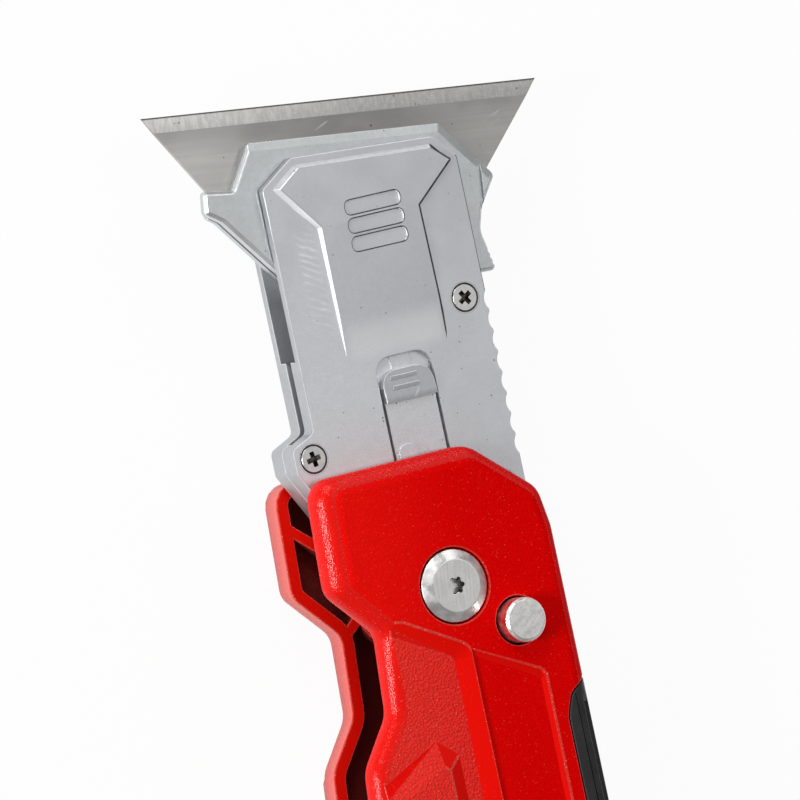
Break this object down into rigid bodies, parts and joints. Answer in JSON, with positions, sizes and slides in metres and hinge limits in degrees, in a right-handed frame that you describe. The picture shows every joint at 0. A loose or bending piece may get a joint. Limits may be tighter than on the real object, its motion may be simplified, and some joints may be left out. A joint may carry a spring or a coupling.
{
  "type": "folding utility knife",
  "caption": "Folding utility knife and scraper: trapezoid blade in a swivelling carrier, sliding carrier lock, die-cast head folding into an open two-part handle with a push-button lock.",
  "frame": {"origin": "where the fold pivot's axis meets the plane of the rear half's flat outer face", "axes": "+Y from the butt to the blade, +X towards the spine, +Z out of the front face"},
  "size_m": [0.0616, 0.1735, 0.0236],
  "materials": {
    "blade_steel": "ground tool steel",
    "die_cast": "fine satin die casting",
    "bright_steel": "bright plated",
    "red_coat": "red textured powder coat on a die casting",
    "black_grip": "matt moulded grip",
    "black_plastic": "matt moulded plastic",
    "bronze": "plain bronze"
  },
  "bodies": {
    "handle": {"front_handle": "red_coat", "rear_handle": "red_coat", "front_grip": "black_grip", "rear_grip": "black_grip", "back_spacer": "black_plastic", "butt_spacer": "black_plastic", "handle_screws": "bright_steel", "pivot_bolt": "bright_steel", "pivot_barrel": "bright_steel", "front_washer": "bronze", "rear_washer": "bronze", "plunger_retainer": "blade_steel", "lock_spring": "bright_steel"},
    "head": {"front_head_shell": "die_cast", "rear_head_shell": "die_cast", "head_screws": "bright_steel", "lock_plate": "blade_steel", "slider_spring": "bright_steel"},
    "carrier": {"blade": "blade_steel", "front_jaw": "die_cast", "rear_jaw": "die_cast", "carrier_rivets": "bright_steel"},
    "slider": {"lock_slider": "die_cast"},
    "button": {"lock_button": "bright_steel"}
  },
  "joints": [
    {"name": "head_fold", "type": "hinge", "parent": "handle", "child": "head", "pos_m": [0, 0, 0], "axis": [0, 0, 1], "range_deg": [0, 180]},
    {"name": "carrier_swivel", "type": "hinge", "parent": "head", "child": "carrier", "pos_m": [0.0028, 0.0545, 0], "axis": [0, 0, 1], "range_deg": [0, 96.1]},
    {"name": "lock_slide", "type": "slide", "parent": "head", "child": "slider", "axis": [0, 1, 0], "range_m": [-0.001, 0.0018], "stiffness_N_per_m": 300, "springref_m": 0.004, "deforming": ["slider_spring"]},
    {"name": "button_press", "type": "slide", "parent": "handle", "child": "button", "axis": [0, 0, 1], "range_m": [-0.0015, 0.0013], "stiffness_N_per_m": 500, "springref_m": 0.003, "deforming": ["lock_spring"]}
  ]
}
